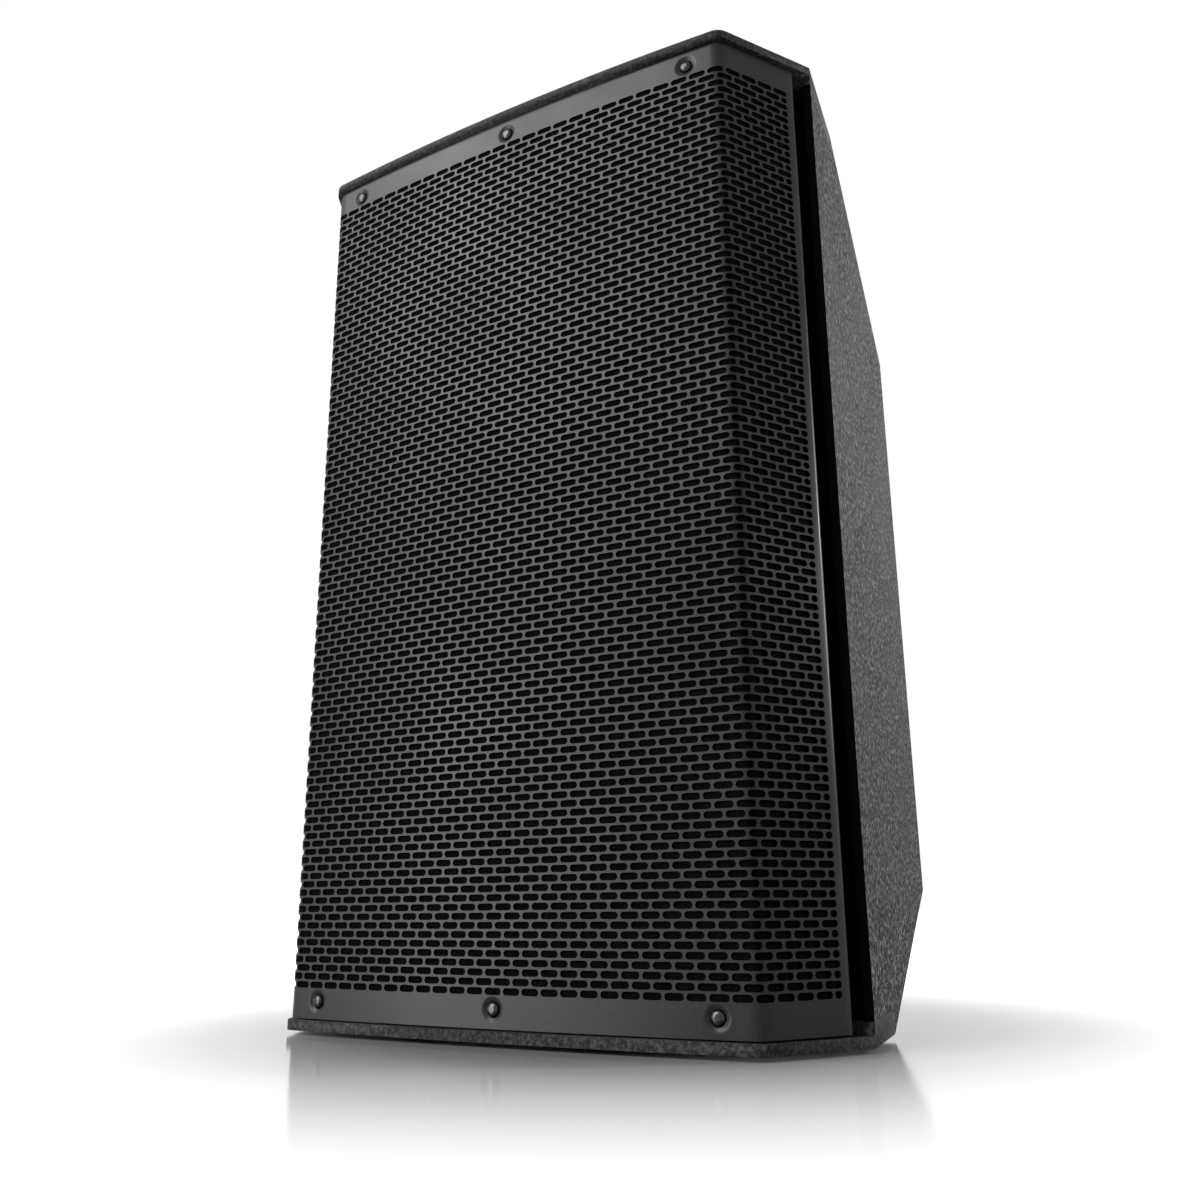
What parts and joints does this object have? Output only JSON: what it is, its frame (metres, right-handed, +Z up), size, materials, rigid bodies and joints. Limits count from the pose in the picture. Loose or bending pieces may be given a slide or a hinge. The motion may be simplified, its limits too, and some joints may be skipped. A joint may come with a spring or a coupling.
{
  "type": "pa speaker cabinet",
  "caption": "Active two-way PA speaker cabinet: bowed full-front slotted grille, tapered plywood shell, woofer, horn, rear amplifier, pole socket and handle.",
  "frame": {"origin": "on the floor, under the middle of the cabinet's width and depth", "axes": "+Z up, -Y out of the front grille, +X to the right as seen from the front"},
  "size_m": [0.454, 0.4, 0.703],
  "materials": {
    "textured_paint": "textured black water-based paint over birch plywood",
    "black_ply": "matt black paint over birch plywood",
    "plywood": "bare birch plywood",
    "grille_steel": "satin black powder coat on perforated steel",
    "black_foam": "open-cell acoustic foam",
    "black_screws": "black zinc steel",
    "cast_basket": "black-painted die-cast aluminium",
    "gasket_rubber": "foam rubber",
    "zinc_steel": "zinc-plated steel",
    "ferrite": "sintered ferrite",
    "copper_coil": "enamelled copper on a polyimide former",
    "paper_cone": "treated paper pulp",
    "doped_cloth": "doped cloth",
    "spider_cloth": "resin-stiffened cotton",
    "moulded_plastic": "black moulded ABS",
    "driver_metal": "black-painted steel and ferrite",
    "panel_paint": "fine-textured black powder coat",
    "heatsink_alloy": "black anodised extrusion",
    "circuit_board": "glass-epoxy laminate",
    "soft_knob": "soft-touch moulding",
    "button_plastic": "grey moulded plastic",
    "led_lens": "tinted lens",
    "wire_sheath": "silicone sheath",
    "polyester_wadding": "polyester fibre",
    "foot_rubber": "moulded rubber"
  },
  "bodies": {
    "cabinet": {"top_panel": "textured_paint", "bottom_panel": "textured_paint", "right_side_panel": "textured_paint", "left_side_panel": "textured_paint", "front_baffle": "black_ply", "rear_panel": "textured_paint", "upper_rear_panel": "textured_paint", "lower_rear_panel": "textured_paint", "window_brace": "plywood", "corner_battens": "plywood", "amp_seat_frame": "plywood", "grille": "grille_steel", "grille_foam": "black_foam", "grille_cleats": "black_ply", "grille_screws": "black_screws", "woofer_basket": "cast_basket", "woofer_gasket": "gasket_rubber", "woofer_front_plate": "zinc_steel", "woofer_magnet": "ferrite", "woofer_back_plate": "zinc_steel", "woofer_surround": "doped_cloth", "woofer_spider": "spider_cloth", "woofer_bolts": "black_screws", "horn_flare": "moulded_plastic", "compression_driver": "driver_metal", "horn_screws": "black_screws", "port_tubes": "moulded_plastic", "amp_panel": "panel_paint", "amp_housing": "zinc_steel", "heatsink": "heatsink_alloy", "amp_board": "circuit_board", "supply_board": "circuit_board", "amp_panel_screws": "black_screws", "combo_sockets": "moulded_plastic", "link_socket": "moulded_plastic", "mains_inlet": "moulded_plastic", "switch_frame": "moulded_plastic", "led_lenses": "led_lens", "speaker_wires": "wire_sheath", "wadding": "polyester_wadding", "handle_dish": "moulded_plastic", "handle_screws": "black_screws", "pole_socket": "panel_paint", "pole_socket_screws": "zinc_steel", "front_feet": "foot_rubber", "rear_feet": "moulded_plastic", "fly_inserts": "zinc_steel"},
    "cone_assembly": {"woofer_cone": "paper_cone", "woofer_dust_cap": "paper_cone", "woofer_coil": "copper_coil"},
    "gain_knob_1_body": {"gain_knob_1": "soft_knob"},
    "gain_knob_2_body": {"gain_knob_2": "soft_knob"},
    "master_knob_body": {"master_knob": "soft_knob"},
    "power_rocker_body": {"power_rocker": "moulded_plastic"},
    "input_button_1_body": {"input_button_1": "button_plastic"},
    "input_button_2_body": {"input_button_2": "button_plastic"},
    "contour_button_body": {"contour_button": "button_plastic"},
    "lift_button_body": {"lift_button": "button_plastic"},
    "combo_latch_1_body": {"combo_latch_1": "zinc_steel"},
    "combo_latch_2_body": {"combo_latch_2": "zinc_steel"}
  },
  "joints": [
    {"name": "woofer_cone_slide", "type": "slide", "parent": "cabinet", "child": "cone_assembly", "axis": [0, 1, 0], "range_m": [-0.008, 0.008], "stiffness_N_per_m": 3500, "deforming": ["woofer_surround", "woofer_spider"]},
    {"name": "gain_knob_1_turn", "type": "hinge", "parent": "cabinet", "child": "gain_knob_1_body", "pos_m": [0.062, 0.1875, 0.217], "axis": [0, 1, 0], "range_deg": [-150, 150]},
    {"name": "gain_knob_2_turn", "type": "hinge", "parent": "cabinet", "child": "gain_knob_2_body", "pos_m": [0.022, 0.1875, 0.217], "axis": [0, 1, 0], "range_deg": [-150, 150]},
    {"name": "master_knob_turn", "type": "hinge", "parent": "cabinet", "child": "master_knob_body", "pos_m": [-0.02, 0.1875, 0.217], "axis": [0, 1, 0], "range_deg": [-150, 150]},
    {"name": "power_rocker_tilt", "type": "hinge", "parent": "cabinet", "child": "power_rocker_body", "pos_m": [-0.006, 0.1845, 0.161], "axis": [0, 0, 1], "range_deg": [0, 16]},
    {"name": "input_button_1_press", "type": "slide", "parent": "cabinet", "child": "input_button_1_body", "axis": [0, -1, 0], "range_m": [0, 0.002], "stiffness_N_per_m": 200},
    {"name": "input_button_2_press", "type": "slide", "parent": "cabinet", "child": "input_button_2_body", "axis": [0, -1, 0], "range_m": [0, 0.002], "stiffness_N_per_m": 200},
    {"name": "contour_button_press", "type": "slide", "parent": "cabinet", "child": "contour_button_body", "axis": [0, -1, 0], "range_m": [0, 0.002], "stiffness_N_per_m": 200},
    {"name": "lift_button_press", "type": "slide", "parent": "cabinet", "child": "lift_button_body", "axis": [0, -1, 0], "range_m": [0, 0.002], "stiffness_N_per_m": 200},
    {"name": "combo_latch_1_press", "type": "slide", "parent": "cabinet", "child": "combo_latch_1_body", "axis": [0, -1, 0], "range_m": [0, 0.0012], "stiffness_N_per_m": 200},
    {"name": "combo_latch_2_press", "type": "slide", "parent": "cabinet", "child": "combo_latch_2_body", "axis": [0, -1, 0], "range_m": [0, 0.0012], "stiffness_N_per_m": 200}
  ]
}
